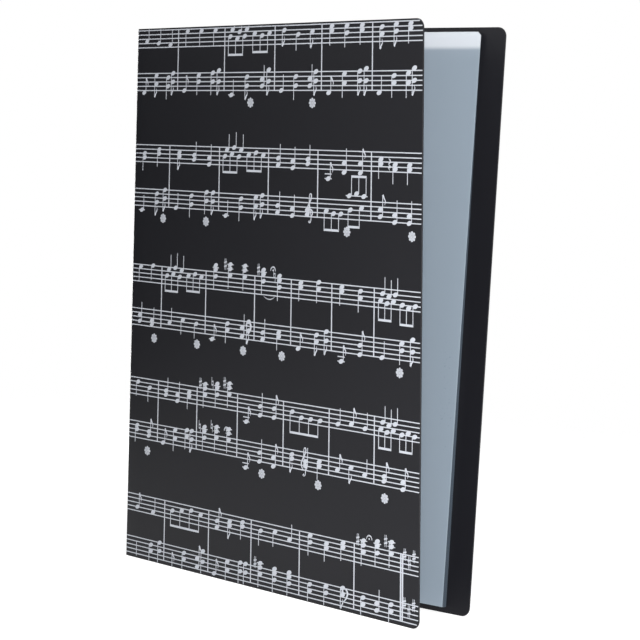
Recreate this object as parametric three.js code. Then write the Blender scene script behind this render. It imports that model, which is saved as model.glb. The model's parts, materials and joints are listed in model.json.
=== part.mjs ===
// A4 music folder with clear pockets, standing open on its lower edges.
// The plastic cover is one creased sheet: front cover, spine and back cover. The pockets lie on the back cover.
// Millimetres, +Z up. The origin is the middle of the spine's lower edge. +X runs along the back cover from the
// spine to its free edge, and +Y points out of the back cover.
import * as THREE from "three";

// Cover sheet
const coverHeight = 310;
const coverWidth = 238; // from a crease to the free edge
const spineDepth = 14; // from crease to crease
const sheetThickness = 0.8;
const cornerRadius = 5; // the free corners of both covers
const creaseGap = 0.6; // from a crease's axis to the edge of each panel beside it

// How the folder stands
const openingDegrees = 10.2; // between the two covers
const frontLean = 6; // the front cover's free edge leans out this far at the top, and in as far at the bottom
const backLean = 7.5; // the same on the back cover

// Pockets
const stackThickness = 2.6; // twenty pockets of two films each
const pocketFreeMargin = 13.5; // from the pockets' free edge to the back cover's
const pocketTopMargin = 2.5;
const pocketBottomMargin = 3.5;
const pocketChamfer = 3; // the cut top corner at the free edge
const pocketSettle = 55; // the stack leaves the middle of the spine and lies on the back cover from here on
const seatClearance = 0.3; // between the pockets and the cover around them

// How finely the curved surfaces are divided
const coverColumns = 10;
const coverRows = 10;
const cornerColumns = 6;
const settleColumns = 12;
const pocketColumns = 8;
const pocketRows = 10;

const openingAngle = THREE.MathUtils.degToRad(openingDegrees);

// Evenly spaced numbers from one value to another, both ends included.
function steps(from, to, count) {
  return Array.from({ length: count + 1 }, (_, i) => from + ((to - from) * i) / count);
}

// How far a leaning panel stands off its flat plane: nothing at the crease, most at the free corners.
function leanAt(along, height, lean) {
  const share = along / coverWidth;
  return lean * share * ((2 * height) / coverHeight - 1);
}

// A closed sheet over a grid of columns, each {along, low, high}. The function place gives the point at a distance
// along the sheet, a height and a side: 0 for the first face, 1 for the second.
function sheetSolid(columns, rows, place) {
  const points = [];
  for (const side of [0, 1]) {
    for (const { along, low, high } of columns) {
      for (const height of steps(low, high, rows)) {
        points.push(...place(along, height, side));
      }
    }
  }
  const sideSize = columns.length * (rows + 1);
  const at = (side, column, row) => side * sideSize + column * (rows + 1) + row;
  const triangles = [];
  const addQuad = (a, b, c, d) => triangles.push(a, b, c, a, c, d);
  const last = columns.length - 1;
  for (let column = 0; column < last; column += 1) {
    for (let row = 0; row < rows; row += 1) {
      addQuad(at(0, column, row), at(0, column + 1, row), at(0, column + 1, row + 1), at(0, column, row + 1));
      addQuad(at(1, column, row), at(1, column, row + 1), at(1, column + 1, row + 1), at(1, column + 1, row));
    }
    addQuad(at(0, column, 0), at(1, column, 0), at(1, column + 1, 0), at(0, column + 1, 0));
    addQuad(at(0, column, rows), at(0, column + 1, rows), at(1, column + 1, rows), at(1, column, rows));
  }
  for (let row = 0; row < rows; row += 1) {
    addQuad(at(0, 0, row), at(0, 0, row + 1), at(1, 0, row + 1), at(1, 0, row));
    addQuad(at(0, last, row), at(1, last, row), at(1, last, row + 1), at(0, last, row + 1));
  }
  const geometry = new THREE.BufferGeometry();
  geometry.setAttribute("position", new THREE.Float32BufferAttribute(points, 3));
  geometry.setIndex(triangles);
  geometry.computeVertexNormals();
  return geometry;
}

// A cover's columns from its crease to its free edge, where both corners are rounded.
function coverOutline() {
  const straight = steps(creaseGap, coverWidth - cornerRadius, coverColumns).map((along) => ({
    along,
    low: 0,
    high: coverHeight,
  }));
  const round = steps(0, Math.PI / 2, cornerColumns).slice(1).map((angle) => {
    const inset = cornerRadius * (1 - Math.cos(angle));
    const along = coverWidth - cornerRadius + cornerRadius * Math.sin(angle);
    return { along, low: inset, high: coverHeight - inset };
  });
  return [...straight, ...round];
}

// The front cover lies in its own frame as the back cover does, with its outer face towards -Y.
function frontCoverGeometry() {
  return sheetSolid(coverOutline(), coverRows, (along, height, side) => [
    along,
    -leanAt(along, height, frontLean) + (side - 0.5) * sheetThickness,
    height,
  ]);
}

function backCoverGeometry() {
  return sheetSolid(coverOutline(), coverRows, (along, height, side) => [
    along,
    leanAt(along, height, backLean) + (side - 0.5) * sheetThickness,
    height,
  ]);
}

function spineGeometry() {
  const box = new THREE.BoxGeometry(sheetThickness, spineDepth - 2 * creaseGap, coverHeight);
  return box.translate(0, 0, coverHeight / 2);
}

// The stack starts at the middle of the spine and eases down onto the back cover.
function pocketsGeometry() {
  const start = sheetThickness / 2 + seatClearance;
  const end = coverWidth - pocketFreeMargin;
  const low = pocketBottomMargin;
  const high = coverHeight - pocketTopMargin;
  const seat = spineDepth / 2 - sheetThickness / 2 - seatClearance;
  const rootRise = seat - stackThickness / 2;
  const rise = (along) => rootRise * (1 - THREE.MathUtils.smoothstep(along, 0, pocketSettle));
  const columns = [
    ...steps(start, pocketSettle, settleColumns),
    ...steps(pocketSettle, end - pocketChamfer, pocketColumns).slice(1),
  ].map((along) => ({ along, low, high }));
  columns.push({ along: end, low, high: high - pocketChamfer });
  return sheetSolid(columns, pocketRows, (along, height, side) => [
    along,
    seat - rise(along) + leanAt(along, height, backLean) - (1 - side) * stackThickness,
    height,
  ]);
}

const coverPlastic = new THREE.MeshStandardMaterial({ color: 0x26272a, roughness: 0.55, metalness: 0 });
const pocketFilm = new THREE.MeshStandardMaterial({ color: 0xa6adb6, roughness: 0.3, metalness: 0 });

function piece(name, geometry, material) {
  const mesh = new THREE.Mesh(geometry, material);
  mesh.name = name;
  return mesh;
}

const folder = new THREE.Group();

const frontCover = piece("front_cover", frontCoverGeometry(), coverPlastic);
frontCover.position.y = -spineDepth / 2;
frontCover.rotation.z = -openingAngle;

const backCover = piece("back_cover", backCoverGeometry(), coverPlastic);
backCover.position.y = spineDepth / 2;

folder.add(frontCover);
folder.add(piece("spine", spineGeometry(), coverPlastic));
folder.add(backCover);
folder.add(piece("pockets", pocketsGeometry(), pocketFilm));

export default folder;
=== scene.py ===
import json
import math
import random
import bpy
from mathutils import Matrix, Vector


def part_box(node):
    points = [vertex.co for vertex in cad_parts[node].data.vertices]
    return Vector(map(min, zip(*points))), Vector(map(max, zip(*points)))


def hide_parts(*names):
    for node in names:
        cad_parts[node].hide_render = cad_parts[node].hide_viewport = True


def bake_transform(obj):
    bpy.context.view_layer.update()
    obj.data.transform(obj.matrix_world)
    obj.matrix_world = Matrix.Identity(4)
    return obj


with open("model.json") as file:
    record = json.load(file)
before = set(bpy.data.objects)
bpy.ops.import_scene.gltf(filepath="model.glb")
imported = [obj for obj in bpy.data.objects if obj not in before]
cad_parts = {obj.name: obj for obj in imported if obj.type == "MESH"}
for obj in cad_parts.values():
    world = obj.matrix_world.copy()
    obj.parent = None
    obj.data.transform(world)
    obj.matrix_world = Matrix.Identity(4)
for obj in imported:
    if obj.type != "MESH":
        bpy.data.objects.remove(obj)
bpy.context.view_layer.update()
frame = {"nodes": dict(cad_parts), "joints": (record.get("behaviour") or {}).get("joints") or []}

print("frame loaded:", sorted(frame["nodes"]))

# The folder's own sizes, in metres, read from the frame where the frame has them.
joints = {joint["name"]: joint for joint in frame["joints"]}
folder = {
    "height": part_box("spine")[1].z,
    "width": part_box("back_cover")[1].x,  # crease to free edge
    "spineDepth": joints["rear_crease"]["pos_m"][1] - joints["front_crease"]["pos_m"][1],
    "sheet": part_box("spine")[1].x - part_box("spine")[0].x,
    "opening": math.radians(90 - joints["front_crease"]["range_deg"][1]),
    "frontLean": 0.006,  # the free corners lean out this far at the top, and in as far at the bottom
    "backLean": 0.0075,
}
frontCrease = Vector(joints["front_crease"]["pos_m"])
rearCrease = Vector(joints["rear_crease"]["pos_m"])
near = 0.00001  # points this close to a line or a corner count as on it
mergeDistance = 0.000001
settings = bpy.context.scene
settings.tool_settings.mesh_select_mode = (True, False, False)


# Small helpers for modelling

def deselectAll():
    bpy.ops.object.select_all(action="DESELECT")


def newPiece(name):
    piece = bpy.context.active_object
    piece.name = name
    piece.data.name = name
    return piece


def choosePoints(piece, chosen):
    # Selects points by their place, in object mode, so that edit mode starts with them.
    for part in (piece.data.polygons, piece.data.edges):
        for item in part:
            item.select = False
    for point in piece.data.vertices:
        point.select = chosen(point.co)


def inEditMode(piece, chosen, action):
    deselectAll()
    bpy.context.view_layer.objects.active = piece
    piece.select_set(True)
    choosePoints(piece, chosen)
    bpy.ops.object.mode_set(mode="EDIT")
    action()
    bpy.ops.object.mode_set(mode="OBJECT")


def applyPlace(piece):
    deselectAll()
    piece.select_set(True)
    bpy.context.view_layer.objects.active = piece
    bpy.ops.object.transform_apply(location=True, rotation=True, scale=True)


def useModifier(piece, kind, **values):
    modifier = piece.modifiers.new(kind.lower(), kind)
    for key, value in values.items():
        setattr(modifier, key, value)
    deselectAll()
    piece.select_set(True)
    bpy.context.view_layer.objects.active = piece
    bpy.ops.object.modifier_apply(modifier=modifier.name)


def facesOutwards(piece):
    def repair():
        bpy.ops.mesh.select_all(action="SELECT")
        bpy.ops.mesh.remove_doubles(threshold=mergeDistance)
        bpy.ops.mesh.normals_make_consistent(inside=False)
    inEditMode(piece, lambda place: True, repair)


def smooth(piece, degrees=30):
    deselectAll()
    piece.select_set(True)
    bpy.context.view_layer.objects.active = piece
    bpy.ops.object.shade_smooth_by_angle(angle=math.radians(degrees))


def standingGrid(name, start, end, low, high, columns, rows, outer):
    # An upright sheet of squares in the plane y = 0. Its faces look along outer, -1 or 1, on the Y axis.
    deselectAll()
    bpy.ops.mesh.primitive_grid_add(
        x_subdivisions=columns, y_subdivisions=rows, size=1,
        location=((start + end) / 2, 0, (low + high) / 2),
        rotation=(-outer * math.pi / 2, 0, 0))
    piece = newPiece(name)
    piece.scale = (end - start, high - low, 1)
    applyPlace(piece)
    return piece


def extrudeEdge(piece, edge, steps):
    # Draws the points at edge out through each step, one after the other.
    def draw():
        for step in steps:
            bpy.ops.mesh.extrude_region_move(TRANSFORM_OT_translate={"value": step})
    inEditMode(piece, lambda place: place.x < edge + near, draw)


def roundCorners(piece, corners, radius, segments):
    def cut():
        bpy.ops.mesh.bevel(offset=radius, segments=segments, affect="VERTICES", profile=0.5)
    inEditMode(piece, lambda place: any((place - corner).length < near for corner in corners), cut)


def leanCage(name, outer, lean):
    # A box of eight points round a cover. Its free edge leans out at the top and in at the bottom.
    deselectAll()
    depth = 0.1
    bpy.ops.object.add(type="LATTICE", location=(folder["width"] / 2, 0, folder["height"] / 2))
    cage = newPiece(name)
    cage.scale = (folder["width"], depth, folder["height"])
    cage.data.points_u = cage.data.points_v = cage.data.points_w = 2
    for axis in "uvw":
        setattr(cage.data, f"interpolation_type_{axis}", "KEY_LINEAR")
    for point in cage.data.points:
        if point.co.x > 0:
            point.co_deform.y += outer * math.copysign(lean, point.co.z) / depth
    return cage


def seatFront(piece):
    # From the front cover's own flat frame to its place in the folder.
    piece.rotation_euler.z = -folder["opening"]
    piece.location = frontCrease
    applyPlace(piece)


def seatBack(piece):
    piece.location = rearCrease
    applyPlace(piece)


# Shader expressions

class Value:
    # A shader socket that can be added and multiplied like a number.
    def __init__(self, shader, socket):
        self.shader = shader
        self.socket = socket

    def maths(self, operation, *terms):
        return self.shader.add("ShaderNodeMath", {"operation": operation}, dict(enumerate(terms)))[0]

    def __add__(self, other):
        return self.maths("ADD", self, other)

    def __radd__(self, other):
        return self.maths("ADD", other, self)

    def __mul__(self, other):
        return self.maths("MULTIPLY", self, other)

    def __rmul__(self, other):
        return self.maths("MULTIPLY", other, self)

    def orElse(self, other):
        return self.maths("MAXIMUM", self, other)


class Shader:
    # The nodes of one material or world.
    def __init__(self, owner):
        self.owner = owner
        owner.use_nodes = True
        self.tree = owner.node_tree
        self.tree.nodes.clear()

    def add(self, kind, nodeSettings=None, sockets=None):
        # Adds one node: its settings first, then values or links. Returns its outputs.
        node = self.tree.nodes.new(kind)
        for key, value in (nodeSettings or {}).items():
            setattr(node, key, value)
        for key, value in (sockets or {}).items():
            if isinstance(value, Value):
                self.tree.links.new(value.socket, node.inputs[key])
            else:
                node.inputs[key].default_value = value
        return [Value(self, output) for output in node.outputs]

    def named(self, kind, *names):
        # Adds a node and returns the outputs with these names.
        outputs = self.add(kind)
        return [next(value for value in outputs if value.socket.name == name) for name in names]

    def place(self, output="Object", scale=(1, 1, 1)):
        where = self.named("ShaderNodeTexCoord", output)[0]
        return self.add("ShaderNodeMapping", None, {"Vector": where, "Scale": scale})[0]

    def noise(self, where, scale, detail=2, roughness=0.5):
        return self.add("ShaderNodeTexNoise", None, {
            "Vector": where, "Scale": scale, "Detail": detail, "Roughness": roughness})[0]

    def between(self, low, high, share):
        return self.add("ShaderNodeMix", {"data_type": "RGBA"}, {0: share, 6: low, 7: high})[2]

    def step(self, value, low, high):
        # 0 below low, 1 above high, smooth between.
        return self.add("ShaderNodeMapRange", {"interpolation_type": "SMOOTHSTEP"}, {
            "Value": value, "From Min": low, "From Max": high})[0]

    def bump(self, height, distance, strength):
        return self.add("ShaderNodeBump", None, {
            "Height": height, "Distance": distance, "Strength": strength})[0]

    def finish(self, sockets):
        surface = self.add("ShaderNodeBsdfPrincipled", None, sockets)[0]
        self.add("ShaderNodeOutputMaterial", None, {"Surface": surface})
        return self.owner


def newMaterial(name):
    return Shader(bpy.data.materials.new(name))


def makeCoverPlastic():
    look = {
        "dark": (0.0056, 0.0057, 0.0076, 1),
        "light": (0.0074, 0.0076, 0.0098, 1),
        "grain": 2200,  # bumps per metre
        "grainDepth": 0.00005,
        "grainStrength": 0.6,
        "clouds": 9,  # broad changes of tone per metre
        "roughness": 0.40,
        "roughnessSpread": 0.10,
        "specular": 0.18,
    }
    shader = newMaterial("coverPlastic")
    where = shader.place()
    grain = shader.noise(where, look["grain"], 3, 0.6)
    clouds = shader.noise(where, look["clouds"])
    return shader.finish({
        "Base Color": shader.between(look["dark"], look["light"], clouds),
        "Roughness": look["roughness"] + look["roughnessSpread"] * grain,
        "Specular IOR Level": look["specular"],
        "Normal": shader.bump(grain, look["grainDepth"], look["grainStrength"]),
    })


def makePrintInk():
    look = {
        "thin": (0.40, 0.42, 0.46, 1),
        "full": (0.49, 0.51, 0.56, 1),
        "specks": 1400,  # per metre
        "speckDepth": 0.00002,
        "speckStrength": 0.5,
        "roughness": 0.42,
        "roughnessSpread": 0.10,
        "specular": 0.25,
    }
    shader = newMaterial("printInk")
    specks = shader.noise(shader.place(), look["specks"], 3)
    return shader.finish({
        "Base Color": shader.between(look["thin"], look["full"], specks),
        "Roughness": look["roughness"] + look["roughnessSpread"] * specks,
        "Specular IOR Level": look["specular"],
        "Normal": shader.bump(specks, look["speckDepth"], look["speckStrength"]),
    })


def makePocketFilm(name, share):
    # share: 0 for a pocket at the back of the stack, 1 for the front one. Lower shares paint the same film
    # darker: painted shade in the stack
    look = {
        # The next colour is painted shade: the dark that the rear pockets of the stack are painted.
        "paintedShade": (0.036, 0.048, 0.063, 1),
        "film": (0.185, 0.226, 0.270, 1),
        # The next colour fills the paler bands along the ripples: a painted reflection of the studio in the
        # wavy film.
        "clear": (0.222, 0.266, 0.312, 1),
        # The next colour is the weld seam at the free edge, painted paler: partly a painted highlight along
        # that edge.
        "weldHighlight": (0.25, 0.30, 0.35, 1),
        "weldHighlightWidth": 0.0007,  # of the paler strip at the free edge: the weld seam, partly a painted highlight along that edge
        # The next colour is a painted highlight: a pale band along the pocket's top, where light from above
        # catches the film.
        "topHighlight": (0.45, 0.48, 0.52, 1),
        "topHighlightDepth": (0.010, 0.007),  # the painted highlight along the top starts and is full this far from the top
        "ripples": 22,  # per metre along the pocket
        "rippleStretch": (1, 1, 0.12),  # longer from top to bottom
        "rippleDepth": 0.0004,
        "rippleStrength": 0.6,
        "grain": 900,
        "roughness": 0.22,
        "rippleRoughness": 0.10,
        "grainRoughness": 0.04,
        "ior": 1.49,
    }
    shader = newMaterial(name)
    split = shader.add("ShaderNodeSeparateXYZ", None, {"Vector": shader.place("UV")})
    ripple = shader.noise(shader.place("Object", look["rippleStretch"]), look["ripples"])
    grain = shader.noise(shader.place(), look["grain"])
    tall = pockets["high"] - pockets["low"]
    # The weld strip at the free edge, partly painted highlight.
    weldHighlight = shader.step(split[0], 1 - look["weldHighlightWidth"] / pockets["length"], 1)
    # Painted highlight along the pocket's top.
    topHighlight = shader.step(split[1], *(1 - depth / tall for depth in look["topHighlightDepth"]))
    # Paler bands along the ripples: painted reflection.
    front = shader.between(look["film"], look["clear"], ripple)
    front = shader.between(front, look["weldHighlight"], weldHighlight)
    front = shader.between(front, look["topHighlight"], topHighlight)
    return shader.finish({
        # Rear pockets mix towards the painted shade.
        "Base Color": shader.between(look["paintedShade"], front, share),
        "Roughness": look["roughness"] + look["rippleRoughness"] * ripple + look["grainRoughness"] * grain,
        "Normal": shader.bump(ripple, look["rippleDepth"], look["rippleStrength"]),
        "IOR": look["ior"],
    })


# Cover: two sheets that meet on the spine, just before its rear crease

cover = {
    "cornerRadius": 0.005,
    "cornerSegments": 8,
    "bendRadius": 0.0012,  # of the sheet's middle, at both creases
    "bendSteps": 6,
    "columns": 24,
    "rows": 24,
    "seam": 0.0006,  # how far the back sheet reaches onto the flat of the spine
    "edgeBevel": 0.00012,
    "bevelAngle": math.radians(60),
}


def bendAt(turn):
    # How far from the crease's corner the bend starts.
    return cover["bendRadius"] * math.tan(turn / 2)


def bendPath(turn, radius, inward, tail):
    # Steps round a crease towards the spine, then along it.
    count = cover["bendSteps"]
    chord = 2 * radius * math.sin(turn / 2 / count)
    steps = []
    for step in range(count):
        turned = turn * (step + 0.5) / count
        steps.append((-chord * math.cos(turned), inward * chord * math.sin(turned), 0))
    steps.append((-tail * math.cos(turn), inward * tail * math.sin(turn), 0))
    return steps


frontTurn = math.pi / 2 - folder["opening"]
rearTurn = math.pi / 2
spineTail = folder["spineDepth"] - bendAt(frontTurn) - bendAt(rearTurn) - cover["seam"]


def coverSheet(name, outer, turn, tail, cage):
    start = bendAt(turn)
    sheet = standingGrid(name, start, folder["width"], 0, folder["height"],
                         cover["columns"], cover["rows"], outer)
    roundCorners(sheet, [Vector((folder["width"], 0, height)) for height in (0, folder["height"])],
                 cover["cornerRadius"], cover["cornerSegments"])
    extrudeEdge(sheet, start, bendPath(turn, cover["bendRadius"], -outer, tail))
    useModifier(sheet, "SOLIDIFY", thickness=folder["sheet"], offset=0, use_even_offset=True)
    facesOutwards(sheet)
    useModifier(sheet, "BEVEL", width=cover["edgeBevel"], segments=1, limit_method="ANGLE",
                angle_limit=cover["bevelAngle"])
    useModifier(sheet, "LATTICE", object=cage)
    return sheet


frontCage = leanCage("front_cage", -1, folder["frontLean"])
backCage = leanCage("back_cage", 1, folder["backLean"])

coverPlastic = makeCoverPlastic()
frontSheet = coverSheet("front_sheet", -1, frontTurn, spineTail, frontCage)
seatFront(frontSheet)
backSheet = coverSheet("back_sheet", 1, rearTurn, cover["seam"], backCage)
seatBack(backSheet)
for sheet in (frontSheet, backSheet):
    smooth(sheet)
    sheet.data.materials.clear()
    sheet.data.materials.append(coverPlastic)
print("cover sheets made")

alongFront = Vector((math.cos(folder["opening"]), -math.sin(folder["opening"]), 0))
frontBendStart = frontCrease + alongFront * bendAt(frontTurn)
frontBendEnd = frontCrease + Vector((0, bendAt(frontTurn), 0))
rearBendStart = rearCrease - Vector((0, bendAt(rearTurn), 0))
rearBendEnd = rearCrease + Vector((bendAt(rearTurn), 0, 0))


def bendAtFront(piece):
    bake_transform(piece)


bendAtFront(frontSheet)
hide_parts("front_cover", "spine")
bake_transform(backSheet)
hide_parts("back_cover")


# Print: staves and notes as thin raised ink on the front cover's outer face, in the cover's own flat frame

ink = {
    "thickness": 0.00003,
    "sunk": 0.00001,  # how much of that is in the plastic
    "pitch": 0.00245,  # from line to line
    "line": 0.00056,
    "stem": 0.00048,
    "bar": 0.00078,
    "beam": 0.0012,
    "stemLength": 0.0085,
    "edge": 0.0005,  # bare strip at the free edge
    "headRoom": 0.0020,  # a head's middle is at least this far from the top and bottom edges
    "ledger": 0.0054,
    "stemSide": 0.0016,  # from a head's middle to its stem
    "chordTrim": 0.001,  # a chord's stem is this much shorter
    "beamReach": 0.0088,  # from the outermost head to its beam
    "signGap": 0.0042,  # from a sign to its head
    "doubleGap": 0.0013,  # between the two strokes of a double bar
    "doubleWide": 1.2,  # their width, as a share of a plain bar's
    "rosetteDrop": 0.0066,  # below the lower staff
    "sideMargin": 0.002,  # from the cover's edge to the first and last measure
    "overLines": 0.000004,  # the notes lie this much over the lines
    "margin": 0.0004,  # no ink nearer to the top and bottom edges than this
    "seed": 5,
}
lastLine = 8  # the step of a staff's bottom line, when its top line is step 0
# Each system is a pair of staves. Tops are measured down from the cover's top edge and the rest from the
# crease, in millimetres.
# A word says how each measure of a staff is filled, and signs stand at a staff: 0 upper, 1 lower.
systems = [
    {"tops": (1.2, 25.8), "bars": (39, 81, 124, 162, 201),
     "upper": "single single triplets single chords chords", "lower": "bass bass bass bass bass bass",
     "rosettes": (104, 155)},
    {"tops": (66.9, 92.4), "bars": (33, 78, 120, 160, 201),
     "upper": "grace chords triplets chords low grace", "lower": "bass bass bass chords boxes chords",
     "signs": (("treble", 1, 154),), "rosettes": (28, 67, 183, 231)},
    {"tops": (136.6, 162.3), "bars": (28, 68, 110, 140, 172, 204),
     "upper": "single triplets high high chords chords triplets",
     "lower": "chords single bass chords bass low bass",
     "signs": (("bass", 1, 105), ("fermata", 0, 125), ("slur", 0, 122)),
     "rosettes": (22, 61, 101, 133, 223)},
    {"tops": (203.1, 228.8), "bars": (27, 62, 97, 135, 171, 205),
     "upper": "single chords high low run single triplets",
     "lower": "chords bass high low chords single chords",
     "signs": (("fermata", 1, 88), ("treble", 1, 152)), "rosettes": (18, 118, 163, 213)},
    {"tops": (272.2, 297.7), "bars": (35, 74, 110, 149, 191),
     "upper": "single run chords single chords high", "lower": "bass bass bass high chords chords",
     "signs": (("fermata", 0, 202), ("bass", 1, 184), ("sharps", 0, 231), ("sharps", 1, 231)),
     "doubleBar": 225, "rosettes": ()},
]
inkMiddle = -(folder["sheet"] / 2 + ink["thickness"] / 2 - ink["sunk"])
millimetre = 0.001
stamps = []


def inkSolid(piece):
    useModifier(piece, "SOLIDIFY", thickness=ink["thickness"], offset=0)
    facesOutwards(piece)
    return piece


def inkBox():
    deselectAll()
    bpy.ops.mesh.primitive_cube_add(size=1)
    box = newPiece("ink_box")
    box.scale = (1, ink["thickness"], 1)
    applyPlace(box)
    return box


def inkDisc(name, wide, high, turn=0, points=14):
    deselectAll()
    bpy.ops.mesh.primitive_circle_add(vertices=points, radius=0.5, fill_type="NGON",
                                      rotation=(math.pi / 2, 0, 0))
    disc = newPiece(name)
    applyPlace(disc)
    disc.scale = (wide, 1, high)
    applyPlace(disc)
    disc.rotation_euler.y = -turn
    applyPlace(disc)
    return inkSolid(disc)


def inkStroke(name, points, width):
    # A pen stroke through points given as (along, height, share of the width), in millimetres.
    deselectAll()
    curve = bpy.data.curves.new(name, "CURVE")
    curve.dimensions = "3D"
    curve.bevel_depth = width / 2
    curve.bevel_resolution = 0
    curve.resolution_u = 5
    curve.use_fill_caps = True
    spline = curve.splines.new("BEZIER")
    spline.bezier_points.add(len(points) - 1)
    for bezier, (along, height, share) in zip(spline.bezier_points, points):
        bezier.co = (along * millimetre, 0, height * millimetre)
        bezier.radius = share
        bezier.handle_left_type = bezier.handle_right_type = "AUTO"
    stroke = bpy.data.objects.new(name, curve)
    settings.collection.objects.link(stroke)
    stroke.select_set(True)
    bpy.context.view_layer.objects.active = stroke
    bpy.ops.object.convert(target="MESH")
    stroke = newPiece(name)
    stroke.scale.y = ink["thickness"] / width
    applyPlace(stroke)
    facesOutwards(stroke)
    return stroke


def joined(name, parts):
    deselectAll()
    for part in parts:
        part.select_set(True)
    bpy.context.view_layer.objects.active = parts[0]
    bpy.ops.object.join()
    return newPiece(name)


def copyAt(master, along, height, wide=1.0, high=1.0, turn=0.0):
    copy = master.copy()
    copy.data = master.data.copy()
    copy.location = (along, 0, height)
    copy.scale = (wide, 1, high)
    copy.rotation_euler = (0, -turn, 0)
    settings.collection.objects.link(copy)
    return copy


def stamp(name, along, height, wide=1.0, high=1.0, turn=0.0):
    stamps.append(copyAt(masters[name], along, height, wide, high, turn))


masters = {
    "box": inkBox(),
    "head": inkDisc("ink_head", wide=0.0038, high=0.0024, turn=math.radians(20)),
    "dot": inkDisc("ink_dot", wide=0.0010, high=0.0010, points=10),
    "flag": inkStroke("ink_flag", [
        (0, 0, 1.8), (0.9, -1.7, 1.3), (1.9, -3.2, 0.9), (1.5, -5.2, 0.3)], width=0.0007),
    "rest": inkStroke("ink_rest", [(-0.6, 3.2, 0.5), (0.5, 1.5, 1.6), (-0.5, 0.2, 1.0), (0.7, -1.4, 1.0),
                                   (-0.5, -1.3, 1.4), (0.2, -3.0, 0.4)], width=0.0007),
    "slur": inkStroke("ink_slur", [(-4.5, 0, 0.4), (-2.4, -1.0, 1.0), (0, -1.4, 1.3), (2.4, -1.0, 1.0),
                                   (4.5, 0, 0.4)], width=0.0005),
    "arc": inkStroke("ink_arc", [(-2.0, -0.6, 0.7), (-1.5, 0.9, 1.1), (0, 1.6, 1.4), (1.5, 0.9, 1.1),
                                 (2.0, -0.6, 0.7)], width=0.0006),
    "treble": inkStroke("ink_treble", [
        (-0.9, -12.2, 2.2), (0.1, -12.9, 0.9), (0.9, -11.6, 0.9), (0.3, -6.0, 0.9), (-0.5, -0.5, 0.9),
        (0.5, 2.4, 1.0), (1.1, 0.8, 1.3), (-0.9, -3.2, 1.3), (-2.3, -6.6, 1.4), (0.0, -9.8, 1.0),
        (2.1, -7.9, 1.2), (0.4, -5.9, 1.1), (-0.9, -7.4, 0.7)], width=0.0007),
    "bass": inkStroke("ink_bass", [
        (-1.5, -2.6, 2.6), (-1.3, -0.9, 1.0), (0.3, -0.2, 1.3), (2.0, -1.9, 2.0), (1.2, -5.2, 1.4),
        (-1.7, -8.2, 0.5)], width=0.0008),
}


def makeRosette():
    # A scalloped ring round a dot.
    petals = 8
    ring, spokes = 0.0020, 0.0013  # how far the outer dots and the spokes stand from the middle
    spokeWide, spokeLong = 0.0010, 0.0013
    dotSize = 1.5
    parts = []
    for petal in range(petals):
        angle = math.tau * petal / petals
        parts.append(copyAt(masters["dot"], ring * math.cos(angle), ring * math.sin(angle),
                            dotSize, dotSize))
    for petal in range(petals):
        angle = math.tau * (petal + 0.5) / petals
        parts.append(copyAt(masters["box"], spokes * math.cos(angle), spokes * math.sin(angle),
                            spokeWide, spokeLong, angle))
    parts.append(copyAt(masters["dot"], 0, 0, dotSize, dotSize))
    rosette = joined("ink_rosette", parts)
    applyPlace(rosette)
    return rosette


def makeAccidental(name, shift, drop, stroke, apart, beam, slope):
    # Two thin upright strokes at shift, the left one higher by drop and the right one lower, and two sloping
    # beams, apart above and below the middle. stroke and beam are widths and heights.
    parts = [copyAt(masters["box"], side * shift, side * -drop, *stroke) for side in (-1, 1)]
    parts += [copyAt(masters["box"], 0, side * apart, *beam, slope) for side in (-1, 1)]
    accidental = joined(name, parts)
    applyPlace(accidental)
    return accidental


masters["rosette"] = makeRosette()
masters["sharp"] = makeAccidental(
    "ink_sharp", shift=0.0005, drop=0, stroke=(0.0003, 0.0064),
    apart=0.0011, beam=(0.0024, 0.0008), slope=0.3)
masters["natural"] = makeAccidental(
    "ink_natural", shift=0.0006, drop=0.0010, stroke=(0.0003, 0.0048),
    apart=0.0010, beam=(0.0015, 0.0007), slope=0.25)


def staffHeight(top, step):
    # The height of a place on a staff: steps count down from its top line, two from line to line.
    return top - step * ink["pitch"] / 2


def bar(along, low, high, wide):
    # An upright stroke, cut off where the cover ends.
    low = max(low, ink["margin"])
    high = min(high, folder["height"] - ink["margin"])
    stamp("box", along, (low + high) / 2, wide, high - low)


def head(along, top, step):
    # A note's head and its ledger lines. A head too near the cover's lower edge is left out.
    height = staffHeight(top, step)
    if height <= ink["headRoom"]:
        return
    stamp("head", along, height)
    for line in [*range(-2, step - 1, -2), *range(lastLine + 2, step + 1, 2)]:
        if ink["line"] < staffHeight(top, line) < folder["height"] - ink["line"]:
            stamp("box", along, staffHeight(top, line), ink["ledger"], ink["line"])


def lowered(top, steps):
    # The same steps, moved down until their heads lie on the cover.
    while staffHeight(top, min(steps)) > folder["height"] - ink["headRoom"]:
        steps = [step + 1 for step in steps]
    return steps


def note(along, top, steps, flagged=False, sign=None, up=None):
    # One stem with a head at each step. The stem points back across the staff unless up says where.
    steps = lowered(top, steps)
    if up is None:
        up = sum(steps) / len(steps) > lastLine / 2
    side = ink["stemSide"] if up else -ink["stemSide"]
    for step in steps:
        head(along, top, step)
    low, high = staffHeight(top, max(steps)), staffHeight(top, min(steps))
    reach = ink["stemLength"] - ink["chordTrim"] * (len(steps) > 1)
    if up:
        high += reach
    else:
        low -= reach
    bar(along + side, low, high, ink["stem"])
    end = high if up else low
    if flagged and 0 < end < folder["height"]:
        stamp("flag", along + side, end, 1, 1 if up else -1)
    if sign:
        stamp(sign, along - ink["signGap"], staffHeight(top, steps[0]))


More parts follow.
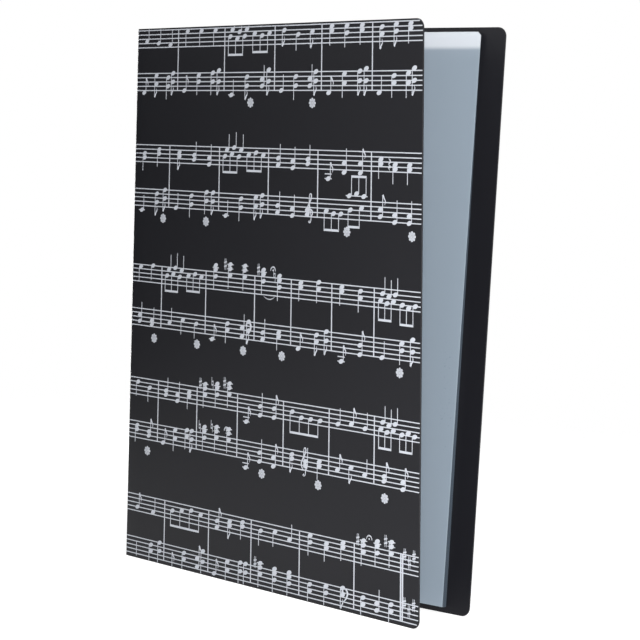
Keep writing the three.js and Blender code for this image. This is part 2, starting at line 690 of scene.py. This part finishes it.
# How notes are spread in a measure: distances in metres, and shares of the measure's own length.
measure = {
    "short": 0.034,  # a measure shorter than this holds two notes and not three
    "shortSpots": (0.24, 0.68),  # shares
    "spots": (0.2, 0.5, 0.8),  # shares
    "start": 0.007,  # from the bar line to a group under a beam
    "tripletStart": 0.0048,  # the same for triplets
    "tripletGroup": 0.49,  # share, from one group of triplets to the next
    "tripletSpacing": 0.145,  # share, from note to note
    "voiceLag": 0.3,  # how far the second voice comes after the first, as a share of the spacing
    "boxShares": (0.62, 0.60),  # where the second group and the one above the staff start
    "boxSpacing": (0.0056, 0.0085, 0.0055),  # from note to note in the three groups
    "bassLead": 0.05,  # share: the low note comes this much before its place
    "chordLead": 0.04,  # share: the chords after it come this much before theirs
    "upbeat": 0.09,  # share: the last note comes this much before the measure's end
    "upbeatGap": 0.001,  # and this much further before it
}
flagShares = {"single": 0.15, "low": 0.5, "chords": 0.25, "bassNote": 0.5, "bassChord": 0.4}


def boxed(along, top, steps, spacing, below=True, doubled=False):
    # Notes under one straight beam, and over them a second voice where doubled.
    steps = lowered(top, steps)
    side = -ink["stemSide"] if below else ink["stemSide"]
    beam = (staffHeight(top, max(steps)) - ink["beamReach"] if below
            else staffHeight(top, min(steps)) + ink["beamReach"])
    for index, step in enumerate(steps):
        place = along + index * spacing
        head(place, top, step)
        ends = sorted((staffHeight(top, step), beam))
        bar(place + side, ends[0], ends[1], ink["stem"])
        if doubled:
            note(place + spacing * measure["voiceLag"], top, [step - 3], up=True)
    length = spacing * (len(steps) - 1) + ink["stem"]
    stamp("box", along + side + spacing * (len(steps) - 1) / 2, beam, length, ink["beam"])


def walk(count, low, high):
    # A melody of count steps that wanders between low and high.
    step = draw.randint(low + 1, high - 1)
    steps = []
    for _ in range(count):
        steps.append(step)
        step = min(high, max(low, step + draw.choice((-2, -1, 1, 2))))
    return steps


def hasFlag(kind):
    # Some notes of each kind get a flag, by chance.
    return draw.random() < flagShares[kind]


# Each of these fills one measure of a staff. It gets the measure's ends, the places for single notes and the
# staff's top.

def fillTriplets(start, end, spots, top):
    room = end - start
    for group, low in enumerate(walk(2, 3, 6)):
        steps = [low, low + draw.choice((-1, 1)), low]
        along = start + measure["tripletStart"] + group * room * measure["tripletGroup"]
        boxed(along, top, steps, room * measure["tripletSpacing"], doubled=group == 0)


def fillRun(start, end, spots, top):
    steps = walk(4, 2, 6)
    spacing = (end - start - 2 * measure["start"]) / (len(steps) - 1)
    boxed(start + measure["start"], top, steps, spacing)


def fillBoxes(start, end, spots, top):
    second, above = (start + (end - start) * share for share in measure["boxShares"])
    spacings = measure["boxSpacing"]
    boxed(start + measure["start"], top, walk(3, 2, 6), spacings[0])
    boxed(second, top, walk(2, 3, 6), spacings[1])
    boxed(above, top, [-2, -3, -2], spacings[2], below=False)


def fillSingle(start, end, spots, top):
    for place, step in zip(spots, walk(3, 0, 7)):
        note(place, top, [step], flagged=hasFlag("single"))


def fillGrace(start, end, spots, top):
    for place, step in zip(spots, walk(3, 4, 8)):
        note(place, top, [step - 3, step - 1], up=False, sign=draw.choice((None, "rest")))


def fillHigh(start, end, spots, top):
    for place, step in zip(spots, walk(3, -4, -1)):
        note(place, top, [step, step + 2, step + 5], sign=draw.choice((None, "sharp", "natural")))


def fillLow(start, end, spots, top):
    note(spots[0], top, [lastLine + 4], flagged=True)
    for place in spots[1:]:
        step = draw.randint(4, 5)
        note(place, top, [step, step + 4], up=True, flagged=hasFlag("low"))


def fillChords(start, end, spots, top):
    for place, step in zip(spots, walk(3, 0, 5)):
        note(place, top, [step, step + draw.choice((2, 3))], flagged=hasFlag("chords"))


def fillBass(start, end, spots, top):
    # A low note, two chords and a high note that leads into the next measure.
    room = end - start
    first = spots[0] - room * measure["bassLead"]
    note(first, top, [draw.choice((8, 9, 10))], flagged=hasFlag("bassNote"))
    for place, step in zip(spots[1:], walk(2, 0, 3)):
        steps = [step, step + draw.choice((3, 4))]
        note(place - room * measure["chordLead"], top, steps, flagged=hasFlag("bassChord"))
    last = end - room * measure["upbeat"] - measure["upbeatGap"]
    note(last, top, [draw.choice((-1, 0)), 4], up=False, flagged=True)


fillers = {
    "triplets": fillTriplets,
    "run": fillRun,
    "boxes": fillBoxes,
    "single": fillSingle,
    "grace": fillGrace,
    "high": fillHigh,
    "low": fillLow,
    "chords": fillChords,
    "bass": fillBass,
}


def fillMeasure(kind, start, end, top):
    # Fills one measure of a staff with notes of one kind.
    room = end - start
    shares = measure["shortSpots"] if room < measure["short"] else measure["spots"]
    fillers[kind](start, end, [start + room * share for share in shares], top)


signPlaces = {
    "arcHeight": 0.0042,  # over the top line
    "dotHeight": 0.0040,
    "slurDrop": 0.0008,  # under the bottom line
    "sharpSteps": (0, 3, 0),
    "sharpSpacing": 0.0033,
}


def placeSign(kind, along, top):
    if kind == "fermata":
        stamp("arc", along, top + signPlaces["arcHeight"])
        stamp("dot", along, top + signPlaces["dotHeight"])
    elif kind == "slur":
        stamp("slur", along, staffHeight(top, lastLine) - signPlaces["slurDrop"])
    elif kind == "sharps":
        for index, step in enumerate(signPlaces["sharpSteps"], -1):
            stamp("sharp", along + index * signPlaces["sharpSpacing"], staffHeight(top, step))
    else:
        stamp(kind, along, top)


def lineEnd(height):
    # How far from the crease a line at this height may reach: the cover's free corners are round.
    radius = cover["cornerRadius"]
    toEdge = min(height, folder["height"] - height) - ink["line"] / 2
    inset = 0 if toEdge > radius else radius - math.sqrt(max(0.0, radius ** 2 - (radius - toEdge) ** 2))
    return folder["width"] - inset - ink["edge"]


def staffLine():
    # One line from the free edge to the crease, round the bend and across the spine.
    start = bendAt(frontTurn)
    radius = cover["bendRadius"] - inkMiddle
    line = standingGrid("staff_line", start, lineEnd(folder["height"] / 2),
                        -ink["line"] / 2, ink["line"] / 2, 1, 1, -1)
    line.location.y = inkMiddle
    applyPlace(line)
    extrudeEdge(line, start, bendPath(frontTurn, radius, 1, spineTail))
    return inkSolid(line)


def staffLineAt(height):
    # A copy of the line, with its free end moved to where the cover allows.
    copy = copyAt(lineMaster, 0, height)
    reach = lineEnd(height) - lineEnd(folder["height"] / 2)
    for point in copy.data.vertices:
        if point.co.x > folder["width"] / 2:
            point.co.x += reach
    return copy


def placeFront(piece, cage):
    useModifier(piece, "LATTICE", object=cage)
    seatFront(piece)
    bendAtFront(piece)
    piece.data.materials.clear()
    piece.data.materials.append(printInk)


printInk = makePrintInk()
draw = random.Random(ink["seed"])
lineMaster = staffLine()
lineCopies = []
for system in systems:
    tops = [folder["height"] - top * millimetre for top in system["tops"]]
    for top in tops:
        lineCopies += [staffLineAt(staffHeight(top, step)) for step in range(0, lastLine + 1, 2)]
    places = [place * millimetre for place in system["bars"]]
    last = system.get("doubleBar")
    foot = staffHeight(tops[1], lastLine)
    for place in places:
        bar(place, foot, tops[0], ink["bar"])
    if last:
        for place in (last * millimetre, last * millimetre + ink["doubleGap"]):
            bar(place, foot, tops[0], ink["bar"] * ink["doubleWide"])
    lastEnd = last * millimetre if last else folder["width"] - ink["sideMargin"]
    ends = [ink["sideMargin"], *places, lastEnd]
    for part, top in zip(("upper", "lower"), tops):
        for kind, start, end in zip(system[part].split(), ends, ends[1:]):
            fillMeasure(kind, start, end, top)
    for kind, staff, along in system.get("signs", ()):
        placeSign(kind, along * millimetre, tops[staff])
    for along in system["rosettes"]:
        stamp("rosette", along * millimetre, foot - ink["rosetteDrop"])
print("print laid out:", len(stamps), "marks")

staves = joined("print_staves", lineCopies)
applyPlace(staves)
notes = joined("print_notes", stamps)
applyPlace(notes)
notes.location.y = inkMiddle - ink["overLines"]
applyPlace(notes)
for piece in (staves, notes):
    placeFront(piece, frontCage)


# Pockets: a stack of clear film pockets, welded along the spine

pockets = {
    "count": 20,
    "length": 0.2226,
    "film": 0.00007,  # thickness of one flat pocket
    "stack": 0.0026,
    "start": 0.0007,  # from the spine's middle plane
    "low": 0.0035,
    "high": 0.3075,
    "settle": 0.055,  # the stack lies flat on the back cover from here on
    "seat": 0.0007,  # from the back cover's middle plane to the stack
    "chamfer": 0.0018,
    "columns": 14,
    "rows": 10,
    "frontCount": 2,  # how many pockets at the front are longer
    "frontLonger": 0.0014,  # they reach this far past the rear ones at the top
    "taper": 0.0022,  # their lower corner lies this far inside their upper one
    "bendSteps": 24,  # from the spine to where the stack lies flat
    "bendEnd": 0.016,  # the pockets bend between the spine and this far along
}


def unwrap(leaf, end, taper):
    # The leaf's own map: 0 at its spine edge to 1 at its free edge, and 0 to 1 from bottom to top.
    layer = leaf.data.uv_layers.active or leaf.data.uv_layers.new(name="leaf")
    tall = pockets["high"] - pockets["low"]
    for loop in leaf.data.loops:
        point = leaf.data.vertices[loop.vertex_index].co
        edge = end - taper * (pockets["high"] - point.z) / tall
        layer.data[loop.index].uv = ((point.x - pockets["start"]) / (edge - pockets["start"]),
                                     (point.z - pockets["low"]) / tall)


def settleRise(along):
    # How far the stack stands off its seat. At the spine, the stack's middle lies at the spine's middle.
    share = min(1.0, along / pockets["settle"])
    rise = folder["spineDepth"] / 2 - pockets["seat"] - pockets["stack"] / 2
    return rise * (1 - share * share * (3 - 2 * share))


def makePocket(name, index):
    # One flat pocket, counted from the front of the stack.
    share = index / (pockets["count"] - 1)
    front = index < pockets["frontCount"]
    end = pockets["start"] + pockets["length"] + (pockets["frontLonger"] if front else 0)
    leaf = standingGrid(name, pockets["settle"], end, pockets["low"], pockets["high"],
                        pockets["columns"], pockets["rows"], -1)
    corner = Vector((end, 0, pockets["high"]))
    roundCorners(leaf, [corner], pockets["chamfer"], 1)
    taper = pockets["taper"] if front else 0
    turn = -math.atan(taper / (pockets["high"] - pockets["low"]))
    inEditMode(leaf, lambda place: place.x > end - near, lambda: bpy.ops.transform.rotate(
        value=turn, orient_axis="Y", orient_type="GLOBAL", center_override=corner))
    count = pockets["bendSteps"]
    span = pockets["start"] - pockets["settle"]
    places = [pockets["settle"] + span * step / count for step in range(count + 1)]
    steps = [(after - before, settleRise(before) - settleRise(after), 0)
             for before, after in zip(places, places[1:])]
    extrudeEdge(leaf, pockets["settle"], steps)
    unwrap(leaf, end, taper)
    useModifier(leaf, "SOLIDIFY", thickness=pockets["film"], offset=0)
    facesOutwards(leaf)
    frontmost = -pockets["seat"] - pockets["stack"] + pockets["film"] / 2
    leaf.location.y = frontmost + (pockets["stack"] - pockets["film"]) * share
    applyPlace(leaf)
    useModifier(leaf, "LATTICE", object=backCage)
    seatBack(leaf)
    smooth(leaf)
    return leaf


filmShares = (1.0, 0.9, 0.05)  # of the first two pockets and of all the rest, from lit film to painted shade
pocketFilms = [makePocketFilm(f"pocketFilm{index + 1}", share) for index, share in enumerate(filmShares)]
for index in range(pockets["count"]):
    leaf = makePocket(f"pocket_{index + 1:02d}", index)
    leaf.data.materials.clear()
    leaf.data.materials.append(pocketFilms[min(index, len(pocketFilms) - 1)])
    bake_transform(leaf)
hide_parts("pockets")

for helper in [*masters.values(), lineMaster, frontCage, backCage]:
    bpy.data.objects.remove(helper)


# Studio: a pale floor that fades into a white surround, and soft lamps

studio = {
    "middle": (0.12, -0.02, 0.15),  # of the folder
    "floorSize": 3.0,
    "floorColor": (0.80, 0.80, 0.80, 1),
    "floorGlow": 0.55,
    "floorFade": (0.35, 0.75),  # metres from the folder
    "ambient": 0.24,
    "cameraPlace": (0.8098, -0.9018, 0.2435),
    "cameraTurn": (85.242, -1.771, 37.026),  # degrees
    "lens": 115.25,
    "sensor": 36,
    "clipEnd": 20,
    "cardPlace": (-0.40, -0.14, 0.20),
    "cardSize": (0.48, 0.42),
    "cardColor": (0.01, 0.01, 0.01, 1),
}
# Each lamp has a place, a target, a width, a height and a power in watts.
lamps = {
    "lamp_top": ((0.30, -0.35, 1.2), studio["middle"], 0.9, 0.7, 5),
    "lamp_right": ((0.72, -0.50, 0.22), studio["middle"], 0.35, 0.5, 8),
    "lamp_front": ((-0.65, -1.25, 0.50), studio["middle"], 0.4, 0.4, 2),
    "lamp_rim": ((-0.90, 0.36, 0.20), (0, 0, 0.15), 0.3, 0.5, 10),
    "lamp_low": ((0.50, -0.30, 0.03), (0.2, -0.02, 0.0), 0.20, 0.05, 0.8),
}


def facing(place, target, axis):
    # The turn that points one of a thing's own axes from its place at the target.
    return (Vector(target) - Vector(place)).to_track_quat(axis, "Y").to_euler()


def softLamp(name, place, target, wide, high, power):
    deselectAll()
    bpy.ops.object.light_add(type="AREA", location=place)
    lamp = newPiece(name)
    lamp.data.shape = "RECTANGLE"
    lamp.data.size = wide
    lamp.data.size_y = high
    lamp.data.energy = power
    lamp.rotation_euler = facing(place, target, "-Z")


def seenDirectly(shader):
    # 1 for what the camera sees, also by reflection or through glass, and 0 for light on surfaces.
    camera, glossy, through = shader.named(
        "ShaderNodeLightPath", "Is Camera Ray", "Is Glossy Ray", "Is Transmission Ray")
    return camera.orElse(glossy).orElse(through)


def makeFloor():
    deselectAll()
    bpy.ops.mesh.primitive_plane_add(size=studio["floorSize"], location=(0, 0, 0))
    floor = newPiece("floor")
    shader = newMaterial("floorWhite")
    diffuse = shader.add("ShaderNodeBsdfDiffuse", None, {"Color": studio["floorColor"]})[0]
    glowing = seenDirectly(shader) * studio["floorGlow"]
    glow = shader.add("ShaderNodeEmission", None, {"Strength": glowing})[0]
    lit = shader.add("ShaderNodeAddShader", None, {0: diffuse, 1: glow})[0]
    clear = shader.add("ShaderNodeBsdfTransparent")[0]
    distance = shader.add("ShaderNodeVectorMath", {"operation": "LENGTH"}, {0: shader.place()})[1]
    fade = shader.step(distance, *studio["floorFade"])
    both = shader.add("ShaderNodeMixShader", None, {0: fade, 1: lit, 2: clear})[0]
    shader.add("ShaderNodeOutputMaterial", None, {"Surface": both})
    floor.data.materials.append(shader.owner)


def makeWorld():
    settings.world = bpy.data.worlds.new("studio")
    shader = Shader(settings.world)
    strength = studio["ambient"] + (1 - studio["ambient"]) * seenDirectly(shader)
    background = shader.add("ShaderNodeBackground", None, {"Color": (1, 1, 1, 1), "Strength": strength})[0]
    shader.add("ShaderNodeOutputWorld", None, {"Surface": background})


def makeCamera():
    deselectAll()
    bpy.ops.object.camera_add(location=studio["cameraPlace"],
                              rotation=[math.radians(turn) for turn in studio["cameraTurn"]])
    camera = newPiece("camera")
    camera.data.lens = studio["lens"]
    camera.data.sensor_width = studio["sensor"]
    camera.data.clip_end = studio["clipEnd"]
    settings.camera = camera


def makeDarkCard():
    # A black card that only reflections see. It keeps the spine side of the cover dark.
    deselectAll()
    bpy.ops.mesh.primitive_plane_add(size=1)
    card = newPiece("dark_card")
    card.scale = (*studio["cardSize"], 1)
    card.rotation_euler = facing(studio["cardPlace"], studio["middle"], "Z")
    card.location = studio["cardPlace"]
    applyPlace(card)
    card.visible_camera = False
    card.visible_diffuse = False
    card.visible_transmission = False
    card.visible_shadow = False
    shader = newMaterial("cardBlack")
    black = shader.add("ShaderNodeBsdfDiffuse", None, {"Color": studio["cardColor"]})[0]
    shader.add("ShaderNodeOutputMaterial", None, {"Surface": black})
    card.data.materials.append(shader.owner)


makeFloor()
makeDarkCard()
makeWorld()
makeCamera()
for name, lamp in lamps.items():
    softLamp(name, *lamp)
settings.view_settings.view_transform = "Standard"

print("studio ready")
